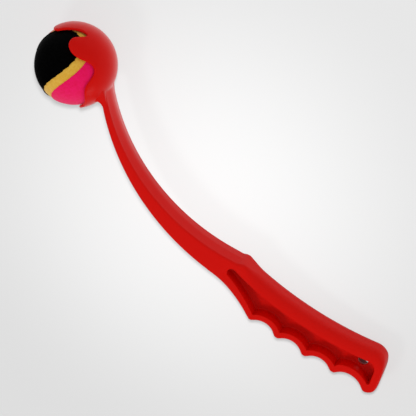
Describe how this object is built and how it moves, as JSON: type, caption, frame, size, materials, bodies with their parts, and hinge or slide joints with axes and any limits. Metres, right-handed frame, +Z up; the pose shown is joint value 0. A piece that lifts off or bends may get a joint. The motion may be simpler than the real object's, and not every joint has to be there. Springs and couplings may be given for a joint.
{
  "type": "dog ball thrower",
  "caption": "Moulded plastic dog ball thrower: a claw cup holds a felt ball on a curved arm, with a scalloped, pocketed handle and a hanging hole",
  "frame": {"origin": "Middle of the bottom of the bounding box, with the thrower lying on its side on the ground", "axes": "+X runs from the cup to the butt of the handle, +Y points to the palm side, +Z up, square to the ground it lies on"},
  "size_m": [0.3836, 0.0744, 0.0631],
  "materials": {
    "red_plastic": "satin moulded",
    "core_rubber": "matte",
    "black_felt": "felt",
    "pink_felt": "felt",
    "yellow_felt": "felt"
  },
  "bodies": {
    "thrower": {"thrower_body": "red_plastic"},
    "ball": {"ball_core_upper_half": "core_rubber", "ball_core_lower_half": "core_rubber", "felt_panel_black": "black_felt", "felt_panel_pink": "pink_felt", "seam_band_yellow": "yellow_felt"}
  },
  "joints": [
    {"name": "ball_slide", "type": "slide", "parent": "thrower", "child": "ball", "axis": [-0.4377, -0.8988, 0.0244], "range_m": [0, 0.08]}
  ]
}
